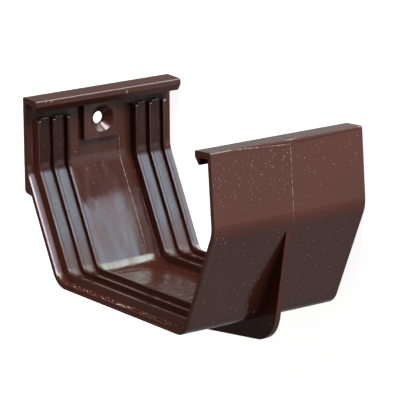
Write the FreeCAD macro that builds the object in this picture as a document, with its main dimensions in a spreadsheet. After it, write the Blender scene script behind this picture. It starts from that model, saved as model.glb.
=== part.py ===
import FreeCAD, Part
import math
import os
import Sketcher

# Gutter slip connector moulded in one piece of rigid vinyl.
# The channel section lies in the XY plane with its open side towards +Y, its back (the side that goes
# against the fascia board) towards -X and its length along Z, so that the part stands on one end.
# It is drawn symmetric about Z = 0 and lifted onto its end last.

doc = FreeCAD.newDocument("gutter_slip_connector")

# Driving dimensions in millimetres, apart from the count and the angle.
SIZES = [
    ("run_length", 68.0, "length along the gutter"),
    ("top_width", 130.0, "outside width across the lip tops"),
    ("bend_width", 132.5, "outside width across the bends, to the sharp corners"),
    ("floor_width", 90.0, "outside width of the floor, to the sharp corners"),
    ("rim_height", 73.0, "underside of the floor to the lip tops"),
    ("bend_height", 42.8, "underside of the floor to the bends"),
    ("wall", 2.1, "wall thickness"),
    ("bend_round", 12.0, "outside radius of the bends"),
    ("floor_round", 9.0, "outside radius of the floor corners"),
    ("lip_reach", 10.0, "outer face to the hook's inner face"),
    ("lip_plate", 2.4, "thickness of the hook's top plate"),
    ("lip_fall", 0.5, "how much lower the lip's top is at the hook than at the wall"),
    ("lip_face", 2.8, "lip top to the lower edge of the hook's upright face"),
    ("lip_drop", 5.5, "lip top to the hook's tip"),
    ("hook_thick", 2.4, "thickness of the hook's flange at its root"),
    ("hook_slant", 2.1, "how far the hook's tip leans back"),
    ("tip_thick", 1.0, "thickness of the hook's tip"),
    ("lip_round", 0.7, "edge radius of the hook's top"),
    ("ridge_count", 3, "sealing ridges at each end"),
    ("ridge_first", 4.5, "end of the part to the first ridge"),
    ("ridge_pitch", 6.7, "ridge to ridge"),
    ("ridge_rise", 3.0, "height of a ridge above the wall"),
    ("ridge_base", 2.8, "width of a ridge at the wall"),
    ("ridge_crest", 1.5, "width of a ridge at its crest"),
    ("ridge_round", 0.5, "edge radius of a crest"),
    ("ridge_foot", 0.8, "radius at the foot of the outermost ridges"),
    ("seal_rise", 1.25, "height of the band between the ridges above the wall"),
    ("seal_edge", 0.4, "edge radius of that band's upper ends"),
    ("ridge_top", 63.8, "underside of the floor to the ridge tops"),
    ("ridge_nose", 1.5, "radius of the ridge tops"),
    ("tail_depth", 8.6, "bend to the lower edge of the back tail"),
    ("tail_round", 1.6, "corner radius of the back tail"),
    ("keel_thick", 2.2, "thickness of the keel web"),
    ("keel_depth", 12.3, "underside of the floor to the keel's middle"),
    ("keel_rise", 6.2, "how much higher the keel's lower corners are"),
    ("keel_width", 108.2, "width of the keel, to the sharp lower corners"),
    ("keel_round", 14.0, "corner radius of the keel"),
    ("keel_top", 39.6, "underside of the floor to the keel's upper ends"),
    ("keel_nose", 30.0, "radius of the keel's lowest point"),
    ("pad_width", 17.0, "width of the screw pad"),
    ("pad_rise", 2.2, "height of the screw pad above the wall"),
    ("pad_foot", 52.3, "underside of the floor to the pad's lower edge"),
    ("screw_height", 59.9, "underside of the floor to the screw hole"),
    ("screw_hole", 5.0, "diameter of the screw hole"),
    ("sink_width", 10.8, "diameter of the countersink"),
    ("sink_angle", 90.0, "angle of the countersink's cone in degrees"),
]
sheet = doc.addObject("Spreadsheet::Sheet", "dims")
for row, (alias, value, note) in enumerate(SIZES, start=1):
    sheet.set("A%d" % row, note)
    sheet.set("B%d" % row, str(value))
    sheet.setAlias("B%d" % row, alias)
doc.recompute()

body = doc.addObject("PartDesign::Body", "slip_connector")
body.Label = "slip_connector"


def origin_plane(role):
    """Returns the body's own origin plane with this role."""
    return next(f for f in body.Origin.OriginFeatures if f.Role == role)


def new_sketch(name, role, lift=None):
    """Adds a sketch on an origin plane, moved along the plane's normal by an expression."""
    sketch = body.newObject("Sketcher::SketchObject", name)
    sketch.AttachmentSupport = [(origin_plane(role), "")]
    sketch.MapMode = "FlatFace"
    if lift:
        sketch.setExpression("AttachmentOffset.Base.z", lift)
    return sketch


def hold(sketch, kind, geometry, position, expression):
    """Holds one size or coordinate to an expression in the sheet's values."""
    value = float(sketch.evalExpression(expression))
    spot = (geometry,) if kind == "Radius" else (geometry, position)
    index = sketch.addConstraint(Sketcher.Constraint(kind, *spot, value))
    sketch.setExpression("Constraints[%d]" % index, expression)


def draw(sketch, corners, closed=True):
    """Draws straight runs between corners (x, y) or, rounded by a tangent arc, (x, y, radius)."""
    count = len(corners)
    at = [FreeCAD.Vector(*[float(sketch.evalExpression(e)) for e in c[:2]], 0) for c in corners]
    starts = list(at)
    ends = [at[(i + 1) % count] for i in range(count)]
    arcs = {}
    for i, corner in enumerate(corners):
        if len(corner) == 3:
            radius = float(sketch.evalExpression(corner[2]))
            into = (at[i] - at[i - 1]).normalize()
            away = (at[(i + 1) % count] - at[i]).normalize()
            turn = math.atan2(into.cross(away).z, into.dot(away))
            cut = radius * math.tan(abs(turn) / 2)
            ends[i - 1] = at[i] - into * cut
            starts[i] = at[i] + away * cut
            side = FreeCAD.Vector(-into.y, into.x, 0) * math.copysign(radius, turn)
            first = math.atan2(-side.y, -side.x)
            span = sorted((first, first + turn))
            circle = Part.Circle(ends[i - 1] + side, FreeCAD.Vector(0, 0, 1), radius)
            arcs[i] = (Part.ArcOfCircle(circle, *span), turn)
    runs = count if closed else count - 1
    lines = [sketch.addGeometry(Part.LineSegment(starts[i], ends[i]), False) for i in range(runs)]
    for i, corner in enumerate(corners):
        if i in arcs:
            arc = sketch.addGeometry(arcs[i][0], False)
            entry, leave = (1, 2) if arcs[i][1] > 0 else (2, 1)
            sketch.addConstraint(Sketcher.Constraint("Tangent", lines[i - 1], 2, arc, entry))
            sketch.addConstraint(Sketcher.Constraint("Tangent", arc, leave, lines[i], 1))
            hold(sketch, "Radius", arc, 0, corner[2])
            geometry, position = sketch.addGeometry(Part.Point(at[i]), True), 1
            sketch.addConstraint(Sketcher.Constraint("PointOnObject", geometry, 1, lines[i - 1]))
            sketch.addConstraint(Sketcher.Constraint("PointOnObject", geometry, 1, lines[i]))
        elif closed or 0 < i < count - 1:
            geometry, position = lines[i], 1
            sketch.addConstraint(Sketcher.Constraint("Coincident", lines[i - 1], 2, lines[i], 1))
        else:
            geometry, position = (lines[0], 1) if i == 0 else (lines[-1], 2)
        hold(sketch, "DistanceX", geometry, position, corner[0])
        hold(sketch, "DistanceY", geometry, position, corner[1])
    return sketch


def pad(name, sketch, length):
    """Pads a sketch by an expression, half to each side of its plane."""
    feature = body.newObject("PartDesign::Pad", name)
    feature.Profile = sketch
    feature.SideType = "Symmetric"
    feature.setExpression("Length", length)
    return feature


def pocket(name, sketch, length):
    """Cuts a sketch by an expression, half to each side of its plane."""
    feature = body.newObject("PartDesign::Pocket", name)
    feature.Profile = sketch
    feature.SideType = "Symmetric"
    feature.setExpression("Length", length)
    return feature


def sweep(name, section, path):
    """Sweeps a section along a path."""
    feature = body.newObject("PartDesign::AdditivePipe", name)
    feature.Profile = section
    feature.Spine = (path, [])
    return feature


def mirrored(name, features, role):
    """Repeats features on the other side of an origin plane."""
    feature = body.newObject("PartDesign::Mirrored", name)
    feature.Originals = features
    feature.MirrorPlane = (origin_plane(role), [""])
    body.Tip = feature
    return feature


def outside(height):
    """Outside half width of an upper wall at a height, which leans out from the lip to the bend."""
    lean = "(dims.bend_width - dims.top_width) / 2 / (dims.rim_height - dims.bend_height)"
    return "dims.top_width / 2 + (dims.rim_height - %s) * %s" % (height, lean)


def slope_outside(height):
    """Outside half width of a sloping wall at a height, between the floor corner and the bend."""
    slope = "(dims.bend_width - dims.floor_width) / 2 / dims.bend_height"
    return "dims.floor_width / 2 + %s * %s" % (height, slope)


def channel_path(name, top):
    """Draws the outside of the channel section as an open path from the back wall's top to the front's."""
    bend = "dims.bend_width / 2"
    foot = "dims.floor_width / 2"
    corners = [
        ("-(%s)" % outside(top), top),
        ("-" + bend, "dims.bend_height", "dims.bend_round"),
        ("-" + foot, "0", "dims.floor_round"),
        (foot, "0", "dims.floor_round"),
        (bend, "dims.bend_height", "dims.bend_round"),
        (outside(top), top),
    ]
    return draw(new_sketch(name, "XY_Plane"), corners, closed=False)


# Added forms start half way into the wall, so that they fuse with it.
bite = "dims.wall / 2"

# Channel wall: a strip as wide as the part is long, swept round the section.
wall_path = channel_path("wall_path", "dims.rim_height - dims.lip_plate / 2")
wall_edge = outside("(dims.rim_height - dims.lip_plate / 2)")
wall_strip = draw(new_sketch("wall_strip", "XZ_Plane", "-(dims.rim_height - dims.lip_plate / 2)"), [
    ("-(%s)" % wall_edge, "-dims.run_length / 2"),
    ("-(%s) + dims.wall" % wall_edge, "-dims.run_length / 2"),
    ("-(%s) + dims.wall" % wall_edge, "dims.run_length / 2"),
    ("-(%s)" % wall_edge, "dims.run_length / 2"),
])
sweep("channel_wall", wall_strip, wall_path)

# Hooked lips: a top plate and a flange that leans back, so that the gutter's rim snaps in behind it.
face = "dims.top_width / 2 - dims.lip_reach"
lip_outline = draw(new_sketch("lip_outline", "XY_Plane"), [
    ("dims.top_width / 2", "dims.rim_height", "dims.lip_round"),
    (face, "dims.rim_height - dims.lip_fall", "dims.lip_round"),
    (face, "dims.rim_height - dims.lip_face"),
    (face + " + dims.hook_slant", "dims.rim_height - dims.lip_drop"),
    (face + " + dims.hook_slant + dims.tip_thick", "dims.rim_height - dims.lip_drop"),
    (face + " + dims.hook_thick", "dims.rim_height - dims.lip_plate - dims.lip_fall"),
    (outside("(dims.rim_height - dims.lip_plate)"), "dims.rim_height - dims.lip_plate"),
])
front_lip = pad("front_lip", lip_outline, "dims.run_length")
mirrored("lips", [front_lip], "YZ_Plane")

# Seals round the inside of the channel, one near each end, that press on the gutter's skin: ridges on
# a low band. The feet of the outermost ridges curve out to the wall and end a little inside it.
seal_path = channel_path("seal_path", "dims.ridge_top")
skin = "-(%s) + dims.wall" % outside("dims.ridge_top")
crest_line = skin + " + dims.ridge_rise"
band_line = skin + " + dims.seal_rise"
root_line = "%s - %s" % (skin, bite)
toe_sink = "dims.ridge_foot / 5"
toe_line = "%s - %s" % (skin, toe_sink)
band_half = "(dims.ridge_base - (dims.ridge_base - dims.ridge_crest) * dims.seal_rise / dims.ridge_rise) / 2"
outer_foot = "dims.run_length / 2 - dims.ridge_first + dims.ridge_base / 2"
inner_foot = outer_foot + " - dims.ridge_base - dims.ridge_pitch * (dims.ridge_count - 1)"
seal_corners = [
    (root_line, outer_foot + " + dims.ridge_foot"),
    (toe_line, outer_foot + " + dims.ridge_foot"),
    (toe_line, outer_foot, "dims.ridge_foot"),
]
for number in range(int(sheet.ridge_count)):
    place = "dims.run_length / 2 - dims.ridge_first - dims.ridge_pitch * %d" % number
    if number > 0:
        seal_corners.append((band_line, "%s + %s" % (place, band_half)))
    seal_corners.append((crest_line, place + " + dims.ridge_crest / 2", "dims.ridge_round"))
    seal_corners.append((crest_line, place + " - dims.ridge_crest / 2", "dims.ridge_round"))
    if number < int(sheet.ridge_count) - 1:
        seal_corners.append((band_line, "%s - %s" % (place, band_half)))
seal_corners += [
    (toe_line, inner_foot, "dims.ridge_foot"),
    (toe_line, inner_foot + " - dims.ridge_foot"),
    (root_line, inner_foot + " - dims.ridge_foot"),
]
seal_outline = draw(new_sketch("seal_outline", "XZ_Plane", "-dims.ridge_top"), seal_corners)
upper_seal = sweep("upper_seal", seal_outline, seal_path)
doc.recompute()
mirrored("seals", [upper_seal], "XY_Plane")

# The ridges' upper ends are rounded back towards the wall, just under the hooks.
nose_foot = "(dims.ridge_top - dims.ridge_rise)"
nose_crest = "%s - dims.wall - dims.ridge_rise" % outside("dims.ridge_top")
nose_gap = "dims.wall / 8"
nose_clear = "%s - dims.wall - dims.ridge_rise - %s" % (outside(nose_foot), nose_gap)
nose_outline = draw(new_sketch("nose_outline", "XY_Plane"), [
    ("%s + dims.ridge_rise - %s" % (nose_crest, nose_gap), "dims.ridge_top"),
    (nose_crest, "dims.ridge_top", "dims.ridge_nose"),
    (nose_clear, nose_foot),
    (nose_clear + " - dims.wall", nose_foot),
    (nose_crest + " - dims.wall", "dims.ridge_top + " + bite),
])
front_noses = pocket("front_noses", nose_outline, "dims.run_length")
mirrored("noses", [front_noses], "YZ_Plane")
doc.recompute()

# Between the ridges, the band's upper ends have rounded edges, found by where they lie.
band_reach = float(nose_outline.evalExpression("%s - dims.wall - dims.seal_rise" % outside("dims.ridge_top")))
band_edges = []
for number, edge in enumerate(body.Shape.Edges, start=1):
    at_top = all(abs(v.Y - sheet.ridge_top) < sheet.ridge_rise for v in edge.Vertexes)
    on_band = all(abs(abs(v.X) - band_reach) < sheet.seal_rise / 2 for v in edge.Vertexes)
    if at_top and on_band and edge.Length > sheet.ridge_crest:
        band_edges.append("Edge%d" % number)
noses = body.Tip
band_rounds = body.newObject("PartDesign::Fillet", "band_rounds")
band_rounds.Base = (noses, band_edges)
band_rounds.setExpression("Radius", "dims.seal_edge")
doc.recompute()

# Back tail: the back wall's flat face runs on below the bend and bears against the fascia.
tail_top = "(dims.bend_height + dims.bend_round / 2)"
tail_foot = "(dims.bend_height - dims.tail_depth)"
tail_toe = "(dims.bend_height - dims.tail_depth - %s)" % bite
tail_outline = draw(new_sketch("tail_outline", "XY_Plane"), [
    ("-(%s)" % outside(tail_top), tail_top),
    ("-(%s)" % outside(tail_foot), tail_foot, "dims.tail_round"),
    ("-(%s) + %s" % (slope_outside(tail_toe), bite), tail_toe),
    ("-(%s) + %s" % (slope_outside("dims.bend_height"), bite), "dims.bend_height - " + bite),
    ("-(%s) + %s" % (outside(tail_top), bite), tail_top),
])
pad("back_tail", tail_outline, "dims.run_length")

# Keel: a thin web round the outside at mid length, deepest under the middle of the floor.
keel_head = "%s - %s" % (slope_outside("dims.keel_top"), bite)
keel_corner = "-(dims.keel_depth - dims.keel_rise)"
keel_root = "dims.floor_width / 2 - %s / 2" % bite
root_round = "dims.floor_round - " + bite
keel_outline = draw(new_sketch("keel_outline", "XY_Plane"), [
    (slope_outside("dims.keel_top"), "dims.keel_top"),
    (keel_head, "dims.keel_top"),
    (keel_root, bite, root_round),
    ("-(%s)" % keel_root, bite, root_round),
    ("-(%s)" % keel_head, "dims.keel_top"),
    ("-(%s)" % slope_outside("dims.keel_top"), "dims.keel_top"),
    ("-dims.keel_width / 2", keel_corner, "dims.keel_round"),
    ("0", "-dims.keel_depth", "dims.keel_nose"),
    ("dims.keel_width / 2", keel_corner, "dims.keel_round"),
])
pad("keel", keel_outline, "dims.keel_thick")

# Screw pad on the back wall, under the hook, with a countersunk hole through to the fascia.
pad_top = "(dims.rim_height - dims.lip_plate / 2)"
pad_outline = draw(new_sketch("pad_outline", "XY_Plane"), [
    ("-(%s) + %s" % (outside("dims.pad_foot"), bite), "dims.pad_foot"),
    ("-(%s) + dims.wall + dims.pad_rise" % outside("dims.pad_foot"), "dims.pad_foot"),
    ("-(%s) + dims.wall + dims.pad_rise" % outside(pad_top), pad_top),
    ("-(%s) + %s" % (outside(pad_top), bite), pad_top),
])
pad("screw_pad", pad_outline, "dims.pad_width")
doc.recompute()

# The sketch plane touches the high side of the leaning pad face, and the countersink is widened to suit.
wall_lean = "abs(dims.bend_width - dims.top_width) / 2 / (dims.rim_height - dims.bend_height)"
lead = "dims.sink_width / 2 * " + wall_lean
screw_plane = "-(%s) + dims.wall + dims.pad_rise + %s" % (outside("dims.screw_height"), lead)
screw_centre = new_sketch("screw_centre", "YZ_Plane", screw_plane)
rim = screw_centre.addGeometry(Part.Circle(), False)
hold(screw_centre, "Radius", rim, 0, "dims.screw_hole / 2")
hold(screw_centre, "DistanceX", rim, 3, "dims.screw_height")
hold(screw_centre, "DistanceY", rim, 3, "0")
doc.recompute()
before = body.Shape.Volume
screw = body.newObject("PartDesign::Hole", "screw_seat")
screw.Profile = screw_centre
screw.DepthType = "ThroughAll"
screw.HoleCutType = "Countersink"
screw.HoleCutCustomValues = True
screw.setExpression("Diameter", "dims.screw_hole")
screw.setExpression("HoleCutDiameter", "dims.sink_width + 2 * %s * tan(dims.sink_angle / 2 * 1 deg)" % lead)
screw.setExpression("HoleCutCountersinkAngle", "dims.sink_angle * 1 deg")
doc.recompute()
if body.Shape.Volume >= before:
    raise RuntimeError("the screw hole cuts nothing")

for item in doc.Objects:
    if "Invalid" in item.State or "Error" in item.State:
        raise RuntimeError("%s failed to recompute" % item.Label)
if body.Shape.isNull() or not body.Shape.isValid() or len(body.Shape.Solids) != 1:
    raise RuntimeError("the connector is not one valid solid")

# The part stands on one end, centred over the origin.
box = body.Shape.optimalBoundingBox(False)
body.Placement.Base = FreeCAD.Vector(-box.Center.x, -box.Center.y, -box.ZMin)
doc.recompute()

os.makedirs("parts", exist_ok=True)
body.Shape.exportStep("parts/slip_connector.step")
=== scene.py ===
import math

import bpy
import numpy as np
from mathutils import Matrix, Vector


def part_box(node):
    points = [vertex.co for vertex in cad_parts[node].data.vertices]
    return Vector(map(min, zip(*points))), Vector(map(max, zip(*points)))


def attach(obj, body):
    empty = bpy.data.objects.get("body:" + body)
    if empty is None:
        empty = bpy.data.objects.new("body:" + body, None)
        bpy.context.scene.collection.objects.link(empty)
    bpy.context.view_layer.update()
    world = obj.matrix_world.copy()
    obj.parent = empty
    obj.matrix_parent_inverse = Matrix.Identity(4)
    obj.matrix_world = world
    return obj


# Frame: the connector stands on one end, with its open side towards +Y and its front towards +X.
# The photograph shows it the way that it hangs on a house, with +Y upwards and +Z towards the near end.
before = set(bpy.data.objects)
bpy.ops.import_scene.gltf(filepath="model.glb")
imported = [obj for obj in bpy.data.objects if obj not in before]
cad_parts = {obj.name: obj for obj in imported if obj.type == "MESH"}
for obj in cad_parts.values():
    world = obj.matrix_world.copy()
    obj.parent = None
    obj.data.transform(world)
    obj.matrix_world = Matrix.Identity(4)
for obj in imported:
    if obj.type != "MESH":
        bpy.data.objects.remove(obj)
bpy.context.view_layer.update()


# Connector: one injection moulding of rigid PVC, dyed dark brown all through. The core of the mould was
# polished, so the inside has a wet gloss, and the cavity was spark-eroded, so the outside is satin.
# It has lain about, so pale lint sits on it. Painted shade darkens it between the seals and on the slope.
MM = 0.001
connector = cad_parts["slip_connector"]
low, high = (np.array(corner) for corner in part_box("slip_connector"))
RIM_HEIGHT = 72.97 * MM
TOP_HALF = 65.0 * MM
FRONT_HALF = 66.23 * MM
BEND_HALF = 66.25 * MM
BEND_HEIGHT = 42.8 * MM
FLOOR_HALF = 45.0 * MM
WALL = 2.1 * MM
WALL_LEAN = (BEND_HALF - TOP_HALF) / (RIM_HEIGHT - BEND_HEIGHT)
SLOPE_LEAN = (BEND_HALF - FLOOR_HALF) / BEND_HEIGHT
FLOOR_LEVEL = high[1] - RIM_HEIGHT
MIDDLE = high[0] - FRONT_HALF
MIDDLE_LENGTH = (low[2] + high[2]) / 2
LENGTH_HALF = (high[2] - low[2]) / 2
PVC_IOR = 1.53


def linear(code):
    """Turns an sRGB hex colour into the linear values that shaders use."""
    parts = [int(code[i:i + 2], 16) / 255 for i in (1, 3, 5)]
    return tuple(p / 12.92 if p <= 0.04045 else ((p + 0.055) / 1.055) ** 2.4 for p in parts) + (1.0,)


def add(tree, kind, settings=None, **inputs):
    """Adds a node, sets its properties, and sets or links its inputs, by name or as _0, _1 by place.

    A node that is given as an input is linked from its first output.
    """
    node = tree.nodes.new(kind)
    for name, value in (settings or {}).items():
        setattr(node, name, value)
    for name, value in inputs.items():
        key = int(name[1:]) if name[0] == "_" else name.replace("_", " ")
        if isinstance(value, bpy.types.Node):
            value = value.outputs[0]
        if isinstance(value, bpy.types.NodeSocket):
            tree.links.new(value, node.inputs[key])
        else:
            node.inputs[key].default_value = value
    return node


vinyl = bpy.data.materials.new("moulded_brown_pvc")
vinyl.use_nodes = True
tree = vinyl.node_tree
shader = tree.nodes["Principled BSDF"]
shader.inputs["IOR"].default_value = PVC_IOR
place = add(tree, "ShaderNodeTexCoord").outputs["Object"]

# Inside means nearer to the middle than the middle of the wall, between the floor's middle and the hooks.
# The panel there lies between the two sets of seals, and the sealed parts have the ridges and bands.
HOOK_FOOT = 67.3 * MM
SEAL_FOOT = 14.5 * MM
SEAL_END = 30.0 * MM
BEND_LOW = 41.0 * MM
BOW_LOW = 22.0 * MM
parts = add(tree, "ShaderNodeSeparateXYZ", _0=place)
aside = add(tree, "ShaderNodeMath", {"operation": "SUBTRACT"}, _0=parts.outputs["X"], _1=MIDDLE)
aside = add(tree, "ShaderNodeMath", {"operation": "ABSOLUTE"}, _0=aside)
height = add(tree, "ShaderNodeMath", {"operation": "SUBTRACT"}, _0=parts.outputs["Y"], _1=FLOOR_LEVEL)
far = add(tree, "ShaderNodeMath", {"operation": "SUBTRACT"}, _0=MIDDLE_LENGTH, _1=parts.outputs["Z"])
length = add(tree, "ShaderNodeMath", {"operation": "ABSOLUTE"}, _0=far)
upper = add(tree, "ShaderNodeMath", {"operation": "MULTIPLY_ADD"}, _0=height, _1=-WALL_LEAN,
            _2=TOP_HALF + RIM_HEIGHT * WALL_LEAN - WALL / 2)
slope = add(tree, "ShaderNodeMath", {"operation": "MULTIPLY_ADD"}, _0=height, _1=SLOPE_LEAN,
            _2=FLOOR_HALF - WALL / 2)
half = add(tree, "ShaderNodeMath", {"operation": "MINIMUM"}, _0=upper, _1=slope)
within = add(tree, "ShaderNodeMath", {"operation": "LESS_THAN"}, _0=aside, _1=half)
above = add(tree, "ShaderNodeMath", {"operation": "GREATER_THAN"}, _0=height, _1=WALL / 2)
below = add(tree, "ShaderNodeMath", {"operation": "LESS_THAN"}, _0=height, _1=HOOK_FOOT)
core_side = add(tree, "ShaderNodeMath", {"operation": "MULTIPLY"}, _0=within, _1=above)
inside = add(tree, "ShaderNodeMath", {"operation": "MULTIPLY"}, _0=core_side, _1=below)
outside = add(tree, "ShaderNodeMath", {"operation": "SUBTRACT"}, _0=1.0, _1=inside)
panel = add(tree, "ShaderNodeMath", {"operation": "LESS_THAN"}, _0=length, _1=SEAL_FOOT)
panel = add(tree, "ShaderNodeMath", {"operation": "MULTIPLY"}, _0=panel, _1=inside)
sloped = add(tree, "ShaderNodeMapRange", _0=height, _1=BEND_LOW, _2=BOW_LOW)
sloped = add(tree, "ShaderNodeMath", {"operation": "MULTIPLY"}, _0=sloped, _1=panel)
past_panel = add(tree, "ShaderNodeMath", {"operation": "GREATER_THAN"}, _0=length, _1=SEAL_FOOT)
off_ends = add(tree, "ShaderNodeMath", {"operation": "LESS_THAN"}, _0=length, _1=SEAL_END)
sealed = add(tree, "ShaderNodeMath", {"operation": "MULTIPLY"}, _0=past_panel, _1=off_ends)
sealed = add(tree, "ShaderNodeMath", {"operation": "MULTIPLY"}, _0=sealed, _1=inside)

# Gloss: satin outside, and finer below the bend. Inside it is wet, with flow streaks that run round the
# section, and it is duller on the slope, in the countersink and where silt fills the seals' low corners.
STREAK = 2.5 * MM
STREAK_STRETCH = 6.0
STREAK_SPAN = (0.35, 0.7)
WET_ROUGH = (0.12, 0.3)
SLOPE_ROUGH = 0.05
SATIN_ROUGH = 0.3
FINE_ROUGH = 0.14
FINE_TOP = 34.0 * MM
LIP_ROUGH = 0.28
LIP_RIM = 0.2 * MM
HOLE_PLACE = (-64.68 * MM, 29.47 * MM, 34.0 * MM)
SINK_REACH = 6.5 * MM
SINK_ROUGH = 0.06
SILT_TOP = 20.0 * MM
SILT_FOOT = 6.0 * MM
SILT_EDGE = 39.5 * MM
SILT_ROUGH = 0.3
drawn = add(tree, "ShaderNodeMapping", {"vector_type": "TEXTURE"}, Vector=place,
            Scale=(STREAK_STRETCH, STREAK_STRETCH, 1.0))
streaks = add(tree, "ShaderNodeTexNoise", Vector=drawn, Scale=1 / STREAK, Detail=2.0)
wet = add(tree, "ShaderNodeMapRange", _0=streaks, _1=STREAK_SPAN[0], _2=STREAK_SPAN[1],
          _3=WET_ROUGH[0], _4=WET_ROUGH[1])
wet = add(tree, "ShaderNodeMath", {"operation": "MULTIPLY_ADD"}, _0=sloped, _1=SLOPE_ROUGH, _2=wet)
lip = add(tree, "ShaderNodeMath", {"operation": "LESS_THAN"}, _0=aside, _1=TOP_HALF - LIP_RIM)
lip = add(tree, "ShaderNodeMath", {"operation": "MULTIPLY_ADD"}, _0=lip, _1=LIP_ROUGH - SATIN_ROUGH,
          _2=SATIN_ROUGH)
flank_gloss = add(tree, "ShaderNodeMapRange", _0=height, _1=FINE_TOP, _2=BEND_LOW,
                  _3=FINE_ROUGH, _4=SATIN_ROUGH)
satin_gloss = add(tree, "ShaderNodeMix", _0=below, _2=lip, _3=flank_gloss)
gloss = add(tree, "ShaderNodeMix", _0=inside, _2=satin_gloss, _3=wet)
hole = add(tree, "ShaderNodeVectorMath", {"operation": "DISTANCE"}, _0=place, _1=HOLE_PLACE)
sunk = add(tree, "ShaderNodeMath", {"operation": "LESS_THAN"}, _0=hole.outputs["Value"], _1=SINK_REACH)
gloss = add(tree, "ShaderNodeMath", {"operation": "MULTIPLY_ADD"}, _0=sunk, _1=SINK_ROUGH, _2=gloss)
corner = add(tree, "ShaderNodeMath", {"operation": "GREATER_THAN"}, _0=aside, _1=SILT_EDGE)
corner = add(tree, "ShaderNodeMath", {"operation": "MULTIPLY"}, _0=corner, _1=sealed)
silt = add(tree, "ShaderNodeMapRange", _0=height, _1=SILT_TOP, _2=SILT_FOOT, _3=0.0, _4=SILT_ROUGH)
gloss = add(tree, "ShaderNodeMath", {"operation": "MULTIPLY_ADD"}, _0=silt, _1=corner, _2=gloss)
tree.links.new(gloss.outputs[0], shader.inputs["Roughness"])

# Unevenness: the slope between the seals has shallow sink marks, still curves below the bend and twists
# towards its far side, and rings lie on the floor round the gate. So the gloss bends what it mirrors.
WAVE = 7.0 * MM
WAVE_TILT = math.radians(3.0)
GATE_PLACE = (-26.0 * MM, 0.0, 42.5 * MM)
RIPPLE = 6.0 * MM
RIPPLE_TILT = math.radians(2.0)
BED_TOP = 3.0 * MM
BOW_HIGH = 34.0 * MM
BOW_TILT = -math.radians(11.0)
BEND_HIGH = 45.0 * MM
WALL_TILT = math.radians(2.2)
WOBBLE = 9.0 * MM
WOBBLE_REACH = 16.0 * MM
TWIST_NEAR = 2.0 * MM
TWIST_FAR = 9.0 * MM
TWIST_TILT = -math.radians(8.0)
waves = add(tree, "ShaderNodeTexNoise", Vector=drawn, Scale=1 / WAVE, Detail=1.0)
swing = add(tree, "ShaderNodeVectorMath", {"operation": "SUBTRACT"}, _0=waves.outputs["Color"],
            _1=(0.5, 0.5, 0.5))
swing = add(tree, "ShaderNodeVectorMath", {"operation": "SCALE"}, _0=swing, Scale=2 * WAVE_TILT)
spread = add(tree, "ShaderNodeVectorMath", {"operation": "SUBTRACT"}, _0=place, _1=GATE_PLACE)
spread = add(tree, "ShaderNodeVectorMath", {"operation": "MULTIPLY"}, _0=spread, _1=(1.0, 0.0, 1.0))
away = add(tree, "ShaderNodeVectorMath", {"operation": "LENGTH"}, _0=spread).outputs["Value"]
phase = add(tree, "ShaderNodeMath", {"operation": "MULTIPLY"}, _0=away, _1=2 * math.pi / RIPPLE)
swell = add(tree, "ShaderNodeMath", {"operation": "SINE"}, _0=phase)
swell = add(tree, "ShaderNodeMath", {"operation": "MULTIPLY"}, _0=swell, _1=RIPPLE_TILT)
ripple = add(tree, "ShaderNodeVectorMath", {"operation": "NORMALIZE"}, _0=spread)
ripple = add(tree, "ShaderNodeVectorMath", {"operation": "SCALE"}, _0=ripple, Scale=swell)
bed = add(tree, "ShaderNodeMath", {"operation": "LESS_THAN"}, _0=height, _1=BED_TOP)
swing = add(tree, "ShaderNodeMix", {"data_type": "VECTOR"}, _0=bed, _4=swing, _5=ripple)
wobble = add(tree, "ShaderNodeTexNoise", Vector=place, Scale=1 / WOBBLE, Detail=2.0)
wobble = add(tree, "ShaderNodeMath", {"operation": "SUBTRACT"}, _0=wobble, _1=0.5)
edge = add(tree, "ShaderNodeMath", {"operation": "MULTIPLY_ADD"}, _0=wobble, _1=WOBBLE_REACH, _2=height)
bow = add(tree, "ShaderNodeMapRange", {"interpolation_type": "SMOOTHSTEP"}, _0=edge,
          _1=BOW_LOW, _2=BOW_HIGH, _3=0.0, _4=BOW_TILT)
rise = add(tree, "ShaderNodeMapRange", {"interpolation_type": "SMOOTHSTEP"}, _0=height,
           _1=BEND_LOW, _2=BEND_HIGH, _3=0.0, _4=WALL_TILT - BOW_TILT)
bow = add(tree, "ShaderNodeMath", {"operation": "ADD"}, _0=bow, _1=rise)
twist = add(tree, "ShaderNodeMapRange", {"interpolation_type": "SMOOTHSTEP"}, _0=far,
            _1=TWIST_NEAR, _2=TWIST_FAR, _3=0.0, _4=TWIST_TILT)
tilt = add(tree, "ShaderNodeCombineXYZ", Y=bow, Z=twist)
tilt = add(tree, "ShaderNodeVectorMath", {"operation": "ADD"}, _0=tilt, _1=swing.outputs[1])
tilt = add(tree, "ShaderNodeVectorMath", {"operation": "SCALE"}, _0=tilt, Scale=panel)

# The near end has a narrow lead-in for the gutter, the countersink is dished, and the grain that the
# spark-eroded cavity left all over the outside breaks up its gloss.
LEAD_IN = 33.2 * MM
LEAD_IN_TILT = math.radians(11.0)
SINK_TILT = 0.3
GRAIN = 0.7 * MM
GRAIN_DEPTH = 0.008 * MM
lead_in = add(tree, "ShaderNodeMath", {"operation": "LESS_THAN"}, _0=far, _1=-LEAD_IN)
lead_in = add(tree, "ShaderNodeMath", {"operation": "MULTIPLY"}, _0=lead_in, _1=inside)
lower = add(tree, "ShaderNodeMath", {"operation": "LESS_THAN"}, _0=height, _1=BEND_LOW)
lead_in = add(tree, "ShaderNodeMath", {"operation": "MULTIPLY"}, _0=lead_in, _1=lower)
lead_in = add(tree, "ShaderNodeMath", {"operation": "MULTIPLY"}, _0=lead_in, _1=LEAD_IN_TILT)
dish = add(tree, "ShaderNodeMath", {"operation": "MULTIPLY"}, _0=sunk, _1=SINK_TILT)
bevels = add(tree, "ShaderNodeCombineXYZ", X=dish, Z=lead_in)
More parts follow.
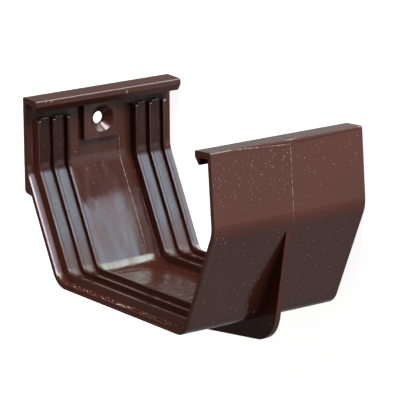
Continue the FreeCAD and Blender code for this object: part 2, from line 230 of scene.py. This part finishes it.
tilt = add(tree, "ShaderNodeVectorMath", {"operation": "ADD"}, _0=tilt, _1=bevels)
facing = add(tree, "ShaderNodeNewGeometry").outputs["Normal"]
facing = add(tree, "ShaderNodeVectorMath", {"operation": "ADD"}, _0=facing, _1=tilt)
facing = add(tree, "ShaderNodeVectorMath", {"operation": "NORMALIZE"}, _0=facing)
grain = add(tree, "ShaderNodeTexNoise", Vector=place, Scale=1 / GRAIN, Detail=2.0)
grain = add(tree, "ShaderNodeMath", {"operation": "MULTIPLY"}, _0=grain, _1=outside)
grained = add(tree, "ShaderNodeBump", Height=grain, Distance=GRAIN_DEPTH, Normal=facing)
tree.links.new(grained.outputs[0], shader.inputs["Normal"])

# Colour: the brown varies a little with the flow. The core side, inside and on the lips, is a darker brown
# as painted shade, and more painted shade darkens it between the seals, and thinly on the slope. Fine lint
# lies on it, a little coarser than real lint.
CLOUD = 30.0 * MM
SATIN_DYE = ("#532B21", "#61352A")
CORE_SHADE_DYE = ("#48231A", "#542C22")
PAINTED_SHADE_TINT = "#381A13"
SLOPE_SHADE = 0.6
LINT_TINT = "#8C7B70"
LINT = 0.7 * MM
LINT_SHARE = 0.4
LINT_REACH = 0.18
clouds = add(tree, "ShaderNodeTexNoise", Vector=place, Scale=1 / CLOUD, Detail=2.0)
# Painted shade: the core side, inside and on the lips, takes a darker brown than the outside.
satin, core_shade = (
    add(tree, "ShaderNodeMix", {"data_type": "RGBA"}, _0=clouds, _6=linear(deep), _7=linear(light))
    for deep, light in (SATIN_DYE, CORE_SHADE_DYE))
dye = add(tree, "ShaderNodeMix", {"data_type": "RGBA"}, _0=core_side,
          _6=satin.outputs[2], _7=core_shade.outputs[2])
# Painted shade: the bands between the seals, and thinly the slope's panel, are mixed towards a dark brown.
painted_shade = add(tree, "ShaderNodeMath", {"operation": "MULTIPLY_ADD"}, _0=sloped, _1=SLOPE_SHADE, _2=sealed)
dye = add(tree, "ShaderNodeMix", {"data_type": "RGBA"}, _0=painted_shade,
          _6=dye.outputs[2], _7=linear(PAINTED_SHADE_TINT))
specks = add(tree, "ShaderNodeTexVoronoi", Vector=place, Scale=1 / LINT)
chance = add(tree, "ShaderNodeSeparateColor", _0=specks.outputs["Color"])
radius = add(tree, "ShaderNodeMapRange", _0=chance, _1=1 - LINT_SHARE, _2=1.0, _3=0.0, _4=LINT_REACH)
dusty = add(tree, "ShaderNodeMath", {"operation": "LESS_THAN"}, _0=specks.outputs["Distance"], _1=radius)
dusted = add(tree, "ShaderNodeMix", {"data_type": "RGBA"}, _0=dusty,
             _6=dye.outputs[2], _7=linear(LINT_TINT))
tree.links.new(dusted.outputs[2], shader.inputs["Base Color"])
connector.material_slots[0].material = vinyl


# Mould marks: where the halves of the cavity met, a fine line of flash runs down the front to the keel,
# and another along the front lip. Above that one the wall is polished. The core left a seam inside.
BEND_ROUND = 12.0 * MM
BEND_STEPS = 13
FLANK_STEPS = 90
LIP_STEPS = 60
ROD_SIDES = 10
ROD_BLUNT = 8
PARTING_PLACE = 1.1 * MM
PARTING_TOP = 71.0 * MM
PARTING_FOOT = 39.5 * MM
PARTING_HALF = 0.15 * MM
PARTING_RISE = 0.16 * MM
FLASH_START = -25.0 * MM
FLASH_DEPTHS = (0.3 * MM, 1.9 * MM)
LAND_DEPTHS = (2.0 * MM, 1.2 * MM)
LAND_RISE = 0.07 * MM
SEAM_PLACE = 9.3 * MM
SEAM_TOP = 66.0 * MM
SEAM_FOOT = 7.0 * MM
SEAM_HALF = 0.16 * MM
SEAM_RISE = 0.1 * MM
END_GAP = 0.4 * MM
RUN_HALF = LENGTH_HALF - END_GAP


def flank(top, foot, depth, count):
    """Even points and outward normals down a flank's section, from one height to another.

    The run is a straight wall, an arc about the bend's centre and a straight slope, all lying inside
    the outer skin by depth. A point is its distance from the middle and its height.
    """
    wall_way = np.array([1.0, WALL_LEAN]) / math.hypot(1.0, WALL_LEAN)
    slope_way = np.array([1.0, -SLOPE_LEAN]) / math.hypot(1.0, SLOPE_LEAN)
    outwards = (wall_way + slope_way) / (1 + wall_way @ slope_way)
    centre = np.array([BEND_HALF, BEND_HEIGHT]) - BEND_ROUND * outwards
    angle = np.linspace(*(math.atan2(way[1], way[0]) for way in (wall_way, slope_way)), BEND_STEPS)
    normals = np.column_stack([np.cos(angle), np.sin(angle)])
    points = centre + (BEND_ROUND - depth) * normals
    start = points[0] + (top - points[0, 1]) * np.array([-WALL_LEAN, 1.0])
    end = points[-1] + (foot - points[-1, 1]) * np.array([SLOPE_LEAN, 1.0])
    points = np.vstack([start, points, end])
    normals = np.vstack([wall_way, normals, slope_way])
    run = np.concatenate([[0.0], np.cumsum(np.linalg.norm(np.diff(points, axis=0), axis=1))])
    even = np.linspace(0.0, run[-1], count)
    columns = [np.interp(even, run, column) for column in (*points.T, *normals.T)]
    return np.column_stack(columns[:2]), np.column_stack(columns[2:])


def stored(section, place, side=1.0):
    """Turns section points at a place along the gutter into the stored frame.

    Across is the middle plus side times the point's distance from it, up is the floor's level plus its
    height, and the place counts from the middle of the length towards the far end.
    """
    place = np.broadcast_to(place, len(section))
    across = MIDDLE + side * section[:, 0]
    return np.column_stack([across, FLOOR_LEVEL + section[:, 1], MIDDLE_LENGTH - place])


def rod(path, out, half_width, half_height):
    """Closed rod of elliptic section along a path, pointed at both ends.

    A ring is the path's point plus cos of an angle times half_width sideways plus sin of it times
    half_height outwards, and both shrink towards the ends as a superellipse does.
    """
    ahead = np.gradient(path, axis=0)
    sideways = np.cross(out, ahead)
    sideways /= np.linalg.norm(sideways, axis=1)[:, None]
    place = np.linspace(-1.0, 1.0, len(path))
    swell = np.sqrt(1 - np.abs(place) ** ROD_BLUNT)[1:-1, None, None]
    angle = np.linspace(0.0, 2 * math.pi, ROD_SIDES, endpoint=False)[None, :, None]
    width = np.broadcast_to(half_width, len(path))[1:-1, None, None]
    rings = path[1:-1, None] + swell * (width * np.cos(angle) * sideways[1:-1, None]
                                        + half_height * np.sin(angle) * out[1:-1, None])
    points = np.vstack([rings.reshape(-1, 3), path[:1], path[-1:]])
    count = len(path) - 2
    index = np.arange(count * ROD_SIDES).reshape(count, ROD_SIDES)
    turned = np.roll(index, -1, axis=1)
    faces = np.stack([index[:-1], turned[:-1], turned[1:], index[1:]], axis=-1).reshape(-1, 4).tolist()
    first, last = count * ROD_SIDES, count * ROD_SIDES + 1
    faces += [(first, b, a) for a, b in zip(index[0], turned[0])]
    faces += [(last, a, b) for a, b in zip(index[-1], turned[-1])]
    return points, faces


def flank_rod(top, foot, depth, place, side, half_width, half_height):
    """Rod down a flank at a place along the gutter, on its outer skin or, at depth, on its inner one."""
    section, normals = flank(top, foot, depth, FLANK_STEPS)
    sign = -1.0 if depth else 1.0
    out = sign * np.column_stack([side * normals[:, 0], normals[:, 1], np.zeros(len(normals))])
    return rod(stored(section, place, side), out, half_width, half_height)


def lip_rod(start, end, depths, half_width, half_height):
    """Rod along the front wall just under the lip's edge, with its depth below the edge at both ends."""
    place = np.linspace(start, end, LIP_STEPS)
    level = RIM_HEIGHT - np.linspace(*depths, LIP_STEPS)
    section = np.column_stack([TOP_HALF + WALL_LEAN * (RIM_HEIGHT - level), level])
    out = np.tile([1.0, WALL_LEAN, 0.0], (LIP_STEPS, 1))
    return rod(stored(section, place), out, half_width, half_height)


def dress(name, shapes, material):
    """Joins shapes (points, faces) into one smooth piece that rides on the connector, within its box."""
    starts = np.cumsum([0] + [len(points) for points, _ in shapes])
    faces = [[start + i for i in face] for start, (_, ring) in zip(starts, shapes) for face in ring]
    mesh = bpy.data.meshes.new(name)
    points = np.clip(np.vstack([points for points, _ in shapes]), low, high)
    mesh.from_pydata(points.tolist(), [], faces)
    mesh.shade_smooth()
    mesh.materials.append(material)
    piece = bpy.data.objects.new(name, mesh)
    bpy.context.scene.collection.objects.link(piece)
    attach(piece, "root")


# Whitened PVC: vinyl that has been bent or knocked turns pale, so thin flash shows as a dotted pale line.
# The same pale material also serves as painted highlight on the bands' upper edges.
DOT = 0.9 * MM
DOT_SPAN = (0.4, 0.65)
PALE_TINTS = ("#6E463B", "#BFAEA6")
PALE_ROUGH = 0.5
pale_wear_and_highlight = bpy.data.materials.new("whitened_pvc_and_painted_highlight")
pale_wear_and_highlight.use_nodes = True
pale_tree = pale_wear_and_highlight.node_tree
pale_shader = pale_tree.nodes["Principled BSDF"]
pale_place = add(pale_tree, "ShaderNodeTexCoord").outputs["Object"]
dots = add(pale_tree, "ShaderNodeTexNoise", Vector=pale_place, Scale=1 / DOT)
dots = add(pale_tree, "ShaderNodeMapRange", _0=dots, _1=DOT_SPAN[0], _2=DOT_SPAN[1])
pale_mix = add(pale_tree, "ShaderNodeMix", {"data_type": "RGBA"}, _0=dots,
            _6=linear(PALE_TINTS[0]), _7=linear(PALE_TINTS[1]))
pale_tree.links.new(pale_mix.outputs[2], pale_shader.inputs["Base Color"])
pale_shader.inputs["Roughness"].default_value = PALE_ROUGH
pale_shader.inputs["IOR"].default_value = PVC_IOR

parting = flank_rod(PARTING_TOP, PARTING_FOOT, 0.0, PARTING_PLACE, 1.0, PARTING_HALF, PARTING_RISE)
dress("parting_line", [parting], pale_wear_and_highlight)
flash = lip_rod(FLASH_START, PARTING_PLACE, FLASH_DEPTHS, PARTING_HALF, PARTING_RISE)
dress("lip_flash", [flash], pale_wear_and_highlight)
seam = flank_rod(SEAM_TOP, SEAM_FOOT, WALL, SEAM_PLACE, -1.0, SEAM_HALF, SEAM_RISE)
dress("core_seam", [seam], pale_wear_and_highlight)

# Polished PVC: the same brown with an even, sharper gloss, so the strip above the flash shows as a line.
LAND_ROUGH = 0.15
glossy = vinyl.copy()
glossy.name = "polished_brown_pvc"
glossy_shader = glossy.node_tree.nodes["Principled BSDF"]
for name in ("Roughness", "Normal"):
    glossy.node_tree.links.remove(glossy_shader.inputs[name].links[0])
glossy_shader.inputs["Roughness"].default_value = LAND_ROUGH
near_depths, far_depths = np.array(FLASH_DEPTHS) / 2, np.array(LAND_DEPTHS) / 2
near_widths, far_widths = (np.linspace(*depths, LIP_STEPS) for depths in (near_depths, far_depths))
dress("lip_land", [
    lip_rod(FLASH_START, PARTING_PLACE, near_depths, near_widths, LAND_RISE),
    lip_rod(PARTING_PLACE, RUN_HALF, far_depths, far_widths, LAND_RISE),
], glossy)


# Wear: knocks and rubbing have left pale nicks on the back hook, a scuff on the floor's near end and a
# scratch on the keel. The pale lines along the upper edges of the bands between the seals are painted
# highlights. A nick's row gives both ends (from the middle, along, height), the way that it faces and its
# half width, in millimetres.
BAND_RISE = 1.25 * MM
BAND_TOP = 63.8 * MM
BAND_SPANS = ((17.6 * MM, 21.3 * MM), (24.3 * MM, 28.0 * MM))
HIGHLIGHT_HALF = 0.2 * MM
STROKE_STEPS = 12
NICK_RISE = 0.1 * MM
HOOK_FACE = -55.0
FLOOR_FACE = WALL / MM
TO_FRONT, TO_TOP, TO_NEAR = np.eye(3)
NICKS = [((HOOK_FACE, -29.9, 71.9), (HOOK_FACE, -29.4, 72.0), TO_FRONT, 0.35),
         ((HOOK_FACE, -26.7, 72.1), (HOOK_FACE, -27.5, 71.1), TO_FRONT, 0.32),
         ((HOOK_FACE, -20.9, 70.8), (HOOK_FACE, -20.6, 70.8), TO_FRONT, 0.25),
         ((HOOK_FACE, 8.3, 71.5), (HOOK_FACE, 8.0, 69.9), TO_FRONT, 0.25),
         ((-3.0, -33.3, FLOOR_FACE), (3.0, -32.6, FLOOR_FACE), TO_TOP, 0.6),
         ((-0.5, -33.4, FLOOR_FACE), (5.2, -31.8, FLOOR_FACE), TO_TOP, 0.45),
         ((1.5, -33.4, FLOOR_FACE), (5.8, -32.4, FLOOR_FACE), TO_TOP, 0.4),
         ((52.7, -1.1, 1.45), (54.3, -1.1, 0.4), TO_NEAR, 0.08)]


def stroke(start, end, out, half_width, half_height):
    """Rod on the straight line between two points (from the middle, along, height), facing outwards."""
    steps = np.linspace(0.0, 1.0, STROKE_STEPS)[:, None]
    line = (1 - steps) * np.array(start) + steps * np.array(end)
    path = stored(line[:, [0, 2]], line[:, 1])
    return rod(path, np.tile(out, (STROKE_STEPS, 1)), half_width, half_height)


# Painted highlights: pale rods along the upper edges of the bands between the seals.
band_edge = TOP_HALF + WALL_LEAN * (RIM_HEIGHT - BAND_TOP) - WALL - BAND_RISE
band_highlights = []
for side in (-1.0, 1.0):
    out = (TO_TOP - side * TO_FRONT) / math.sqrt(2)
    for end in (-1.0, 1.0):
        for span in BAND_SPANS:
            first, last = ((side * band_edge, end * spot, BAND_TOP) for spot in span)
            band_highlights.append(stroke(first, last, out, HIGHLIGHT_HALF, HIGHLIGHT_HALF))
dress("band_edge_highlights", band_highlights, pale_wear_and_highlight)
dress("nicks", [stroke(np.array(start) * MM, np.array(end) * MM, out, half_width * MM, NICK_RISE)
                for start, end, out, half_width in NICKS], pale_wear_and_highlight)


# Dust: pale grit that clings to the moulding, mostly on the front, with a cluster at the near end of
# its bend. The grains are drawn a little coarser than real ones so that they show. Shares are of the
# way down a skin, from the top of its section to the foot.
GRAIN_RADII = (0.07 * MM, 0.17 * MM)
GRAIN_FLAT = 0.7
GRAIN_STEPS = 5
GRIT_TOP = RIM_HEIGHT - 3.0 * MM
GRIT_FOOT = 4.0 * MM
GRIT_FLOOR = 40.0 * MM
GRIT_STEPS = 400
GRIT_SEED = 7
FRONT_GRAINS = 600
NEAR_GRAINS = 500
NEAR_SHARE = (0.0, 0.9)
SLOPE_GRAINS = 320
SLOPE_SHARE = (0.42, 1.0)
COARSE = 1.4
CLUSTER_GRAINS = 30
CLUSTER_PLACE = (-33.4 * MM, -28.0 * MM)
CLUSTER_SHARE = (0.385, 0.46)
PANEL_GRAINS = 60
PANEL_SHARE = (0.3, 1.0)
STRIP_GRAINS = 60
WHOLE_SHARE = (0.0, 1.0)
draws = np.random.default_rng(GRIT_SEED)


def grains(count, places, shares, skin, side=1.0, coarse=1.0):
    """Flattened balls on a skin: one unit ball, scaled, turned to the skin and moved by whole arrays.

    A ball's point is its centre plus its size times the unit ball's parts along the gutter, down the
    section and outwards, with places and section points drawn evenly at random.
    """
    section, normals = skin
    pick = draws.integers(int(shares[0] * GRIT_STEPS), int(shares[1] * GRIT_STEPS), count)
    centres = stored(section[pick], draws.uniform(*places, count), side)
    out = np.column_stack([side * normals[pick, 0], normals[pick, 1], np.zeros(count)])
    fine, big = GRAIN_RADII
    size = coarse * (fine + (big - fine) * draws.uniform(0, 1, count) ** 2)
    line = np.linspace(-1.0, 1.0, GRAIN_STEPS)[:, None] * TO_NEAR
    ball, faces = rod(line, np.tile(TO_FRONT, (GRAIN_STEPS, 1)), 1.0, GRAIN_FLAT)
    sideways = np.cross(TO_NEAR, out)
    spread = (ball[None, :, 0, None] * out[:, None] + ball[None, :, 1, None] * sideways[:, None]
              + ball[None, :, 2, None] * TO_NEAR)
    points = centres[:, None] + size[:, None, None] * spread
    return [(cloud, faces) for cloud in points]


# Mineral dust: fine dry crumbs, matt and pale, from warm grey to nearly white.
GRIT_CLOUD = 2.0 * MM
GRIT_TINTS = ("#C8B8AC", "#F0EAE4")
GRIT_ROUGH = 0.9
grit = bpy.data.materials.new("pale_mineral_dust")
grit.use_nodes = True
grit_tree = grit.node_tree
grit_shader = grit_tree.nodes["Principled BSDF"]
grit_place = add(grit_tree, "ShaderNodeTexCoord").outputs["Object"]
mixed = add(grit_tree, "ShaderNodeTexNoise", Vector=grit_place, Scale=1 / GRIT_CLOUD)
tinted = add(grit_tree, "ShaderNodeMix", {"data_type": "RGBA"}, _0=mixed,
             _6=linear(GRIT_TINTS[0]), _7=linear(GRIT_TINTS[1]))
grit_tree.links.new(tinted.outputs[2], grit_shader.inputs["Base Color"])
grit_shader.inputs["Roughness"].default_value = GRIT_ROUGH

front_skin = flank(GRIT_TOP, GRIT_FOOT, 0.0, GRIT_STEPS)
inner_points, inner_normals = flank(GRIT_TOP, GRIT_FOOT, WALL, GRIT_STEPS)
inner_skin = inner_points, -inner_normals
floor_line = np.linspace(-GRIT_FLOOR, GRIT_FLOOR, GRIT_STEPS)
floor_points = np.column_stack([floor_line, np.full(GRIT_STEPS, WALL)])
floor_skin = floor_points, np.tile([0.0, 1.0], (GRIT_STEPS, 1))
dust = grains(FRONT_GRAINS, (-RUN_HALF, RUN_HALF), WHOLE_SHARE, front_skin)
dust += grains(NEAR_GRAINS, (-RUN_HALF, PARTING_PLACE), NEAR_SHARE, front_skin)
dust += grains(SLOPE_GRAINS, (-RUN_HALF, RUN_HALF), SLOPE_SHARE, front_skin, coarse=COARSE)
dust += grains(CLUSTER_GRAINS, CLUSTER_PLACE, CLUSTER_SHARE, front_skin, coarse=COARSE)
dust += grains(PANEL_GRAINS, (-SEAL_FOOT, SEAL_FOOT), PANEL_SHARE, inner_skin, side=-1.0)
dust += grains(STRIP_GRAINS, (-RUN_HALF, -SEAL_END), WHOLE_SHARE, floor_skin, coarse=COARSE)
dress("dust", dust, grit)


# Studio: pale paper under the end that the part stands on, soft lamps, and the photograph's view.
# In that view the part's open side is up, so the picture is turned on its side against the floor.
VIEW_AZIMUTH = math.radians(56.070)
VIEW_ELEVATION = math.radians(14.036)
VIEW_ROLL = math.radians(-1.743)
VIEW_DISTANCE = 1081.455 * MM
VIEW_FOCUS = 2793.59
PICTURE = 400
SENSOR = 36.0
AIM_RIGHT = 2.774 * MM
AIM_UP = 36.823 * MM
CLIP_NEAR = 0.05
CLIP_FAR = 20.0

back = math.sin(VIEW_AZIMUTH) * TO_FRONT + math.cos(VIEW_AZIMUTH) * TO_NEAR
back = math.cos(VIEW_ELEVATION) * back + math.sin(VIEW_ELEVATION) * TO_TOP
right = math.cos(VIEW_AZIMUTH) * TO_FRONT - math.sin(VIEW_AZIMUTH) * TO_NEAR
up = np.cross(back, right)
turned_right = math.cos(VIEW_ROLL) * right + math.sin(VIEW_ROLL) * up
turned_up = math.cos(VIEW_ROLL) * up - math.sin(VIEW_ROLL) * right
aim = np.array([MIDDLE, FLOOR_LEVEL, MIDDLE_LENGTH])
eye = aim + AIM_RIGHT * turned_right + AIM_UP * turned_up + VIEW_DISTANCE * back

camera = bpy.data.objects.new("camera", bpy.data.cameras.new("camera"))
bpy.context.scene.collection.objects.link(camera)
placed = np.eye(4)
placed[:3, :] = np.column_stack([turned_right, turned_up, back, eye])
camera.matrix_world = Matrix(placed.tolist())
camera.data.sensor_width = SENSOR
camera.data.lens = VIEW_FOCUS / PICTURE * SENSOR
camera.data.clip_start = CLIP_NEAR
camera.data.clip_end = CLIP_FAR
bpy.context.scene.camera = camera

# The paper takes the part's shadow. The photograph's light comes from beyond the far end, so the paper
# itself casts none, and it stays out of the gloss. To the camera it glows a little short of white.
FLOOR_REACH = 3.0
PAPER_TINT = "#EDEDED"
PAPER_GLOW = 0.9
floor_mesh = bpy.data.meshes.new("floor")
floor_corners = [(-FLOOR_REACH, -FLOOR_REACH, 0), (FLOOR_REACH, -FLOOR_REACH, 0),
                 (FLOOR_REACH, FLOOR_REACH, 0), (-FLOOR_REACH, FLOOR_REACH, 0)]
floor_mesh.from_pydata(floor_corners, [], [(0, 1, 2, 3)])
floor = bpy.data.objects.new("floor", floor_mesh)
bpy.context.scene.collection.objects.link(floor)
floor.visible_glossy = False
floor.visible_shadow = False
floor.visible_diffuse = False
paper = bpy.data.materials.new("white_paper")
paper.use_nodes = True
sheet = paper.node_tree
sheet.nodes.clear()
paper_ray = add(sheet, "ShaderNodeLightPath")
matt = add(sheet, "ShaderNodeBsdfDiffuse", Color=linear(PAPER_TINT))
shown = add(sheet, "ShaderNodeMath", {"operation": "MULTIPLY"}, _0=paper_ray.outputs["Is Camera Ray"],
            _1=PAPER_GLOW)
glow = add(sheet, "ShaderNodeEmission", Strength=shown)
both = add(sheet, "ShaderNodeAddShader", _0=matt, _1=glow)
add(sheet, "ShaderNodeOutputMaterial", Surface=both)
floor_mesh.materials.append(paper)

# The gloss mirrors a ring of cards round the part's length, given by the angle from the front upwards:
# pale paper behind, a dim room below and above, and a bright card in front. They dim towards the near end.
# A second ring, the dome, gives the soft light, which also comes mostly from the far end.
CARDS = [(-180, "#C4DCDC"), (-150, "#BCBCBC"), (-105, "#898989"), (-70, "#A8A8A8"), (-40, "#9C9C9C"),
         (-28, "#909090"), (-21, "#848484"), (-16, "#A8A8A8"), (-11, "#FCFCFC"), (3, "#FCFCFC"),
         (10, "#9A9A9A"), (20, "#9A9A9A"), (50, "#AAAAAA"), (120, "#7C7C7C"), (150, "#606060"),
         (164, "#606060"), (168, "#C0D8D8"), (180, "#C4DCDC")]
CARD_SPAN = (-0.3, 0.3)
CARD_LEVELS = (1.0, 0.15)
DOME = [(-180, "#949494"), (-90, "#898989"), (-45, "#949494"), (0, "#DADADA"), (45, "#FFFFFF"),
        (90, "#FFFFFF"), (135, "#DADADA"), (180, "#949494")]
DOME_SPAN = (-0.2, 0.4)
DOME_LEVELS = (0.65, 0.12)
world = bpy.data.worlds.new("studio")
bpy.context.scene.world = world
world.use_nodes = True
sky = world.node_tree
sky.nodes.clear()
sky_ray = add(sky, "ShaderNodeLightPath")
looking = add(sky, "ShaderNodeSeparateXYZ", _0=add(sky, "ShaderNodeTexCoord").outputs["Generated"])
turn = add(sky, "ShaderNodeMath", {"operation": "ARCTAN2"}, _0=looking.outputs["Y"], _1=looking.outputs["X"])
turn = add(sky, "ShaderNodeMath", {"operation": "DEGREES"}, _0=turn)
share = add(sky, "ShaderNodeMapRange", _0=turn, _1=-180.0, _2=180.0)
rings = []
for tints, span, levels in ((CARDS, CARD_SPAN, CARD_LEVELS), (DOME, DOME_SPAN, DOME_LEVELS)):
    ring = add(sky, "ShaderNodeValToRGB", Fac=share)
    stops = ring.color_ramp.elements
    stops[0].color = linear(tints[0][1])
    stops[1].color = linear(tints[-1][1])
    for degrees, tint in tints[1:-1]:
        stops.new(degrees / 360 + 0.5).color = linear(tint)
    level = add(sky, "ShaderNodeMapRange", _0=looking.outputs["Z"], _1=span[0], _2=span[1],
                _3=levels[0], _4=levels[1])
    rings.append(add(sky, "ShaderNodeBackground", Color=ring, Strength=level))
mirrored, soft = rings

# Panes: a window high in front towards the far end, a taller one over it, a lamp square to the length
# and a low one in front. A row gives the tint and strength, then where each edge shuts and opens: foot
# and head in degrees on the ring, and near and far side as a share of the way to the far end.
PANES = [("#C6E6FA", 6.3, (22, 28), (58, 52), (0.40, 0.47), (0.68, 0.62)),
         ("#E8FAF2", 11.0, (48, 54), (100, 92), (0.38, 0.48), (0.9, 0.8)),
         ("#F2F0FC", 22.0, (24, 30), (66, 60), (-0.2, -0.1), (0.24, 0.14)),
         ("#FFFFFF", 10.0, (-34, -28), (-8, -14), (-0.14, -0.08), (0.20, 0.14))]
beyond = add(sky, "ShaderNodeMath", {"operation": "MULTIPLY"}, _0=looking.outputs["Z"], _1=-1.0)
for tint, strength, foot, head, near_side, far_side in PANES:
    bright = strength
    for value, (shut, opened) in ((turn, foot), (turn, head), (beyond, near_side), (beyond, far_side)):
        part = add(sky, "ShaderNodeMapRange", {"interpolation_type": "SMOOTHSTEP"}, _0=value,
                   _1=shut, _2=opened)
        bright = add(sky, "ShaderNodeMath", {"operation": "MULTIPLY"}, _0=part, _1=bright)
    pane = add(sky, "ShaderNodeBackground", Color=linear(tint), Strength=bright)
    mirrored = add(sky, "ShaderNodeAddShader", _0=mirrored, _1=pane)
white = add(sky, "ShaderNodeBackground", Color=linear("#FFFFFF"), Strength=1.0)
lit = add(sky, "ShaderNodeMixShader", _0=sky_ray.outputs["Is Glossy Ray"], _1=soft, _2=mirrored)
seen = add(sky, "ShaderNodeMixShader", _0=sky_ray.outputs["Is Camera Ray"], _1=lit, _2=white)
add(sky, "ShaderNodeOutputWorld", Surface=seen)

# Lamps: soft squares that face the part and stay out of its gloss. A row gives the parts of a lamp's
# direction to the front, to the far end and upwards, then its distance and side in metres, and its watts.
LAMPS = [("key_lamp", (0.588, 0.253, 0.769), 1.0, 0.45, 9.5),
         ("near_lamp", (-0.05, -0.62, 0.78), 1.0, 0.5, 6.0),
         ("fill_lamp", (-0.78, -0.1, -0.6), 1.2, 0.8, 6.0)]
for name, (front_part, far_part, top_part), distance, size, watts in LAMPS:
    way = front_part * TO_FRONT - far_part * TO_NEAR + top_part * TO_TOP
    way = way / np.linalg.norm(way)
    light = bpy.data.lights.new(name, "AREA")
    light.size = size
    light.energy = watts
    lamp = bpy.data.objects.new(name, light)
    bpy.context.scene.collection.objects.link(lamp)
    lamp.location = (low + high) / 2 + distance * way
    lamp.rotation_mode = "QUATERNION"
    lamp.rotation_quaternion = Vector(way).to_track_quat("Z", "Y")
    lamp.visible_glossy = False

bpy.context.scene.view_settings.view_transform = "Standard"
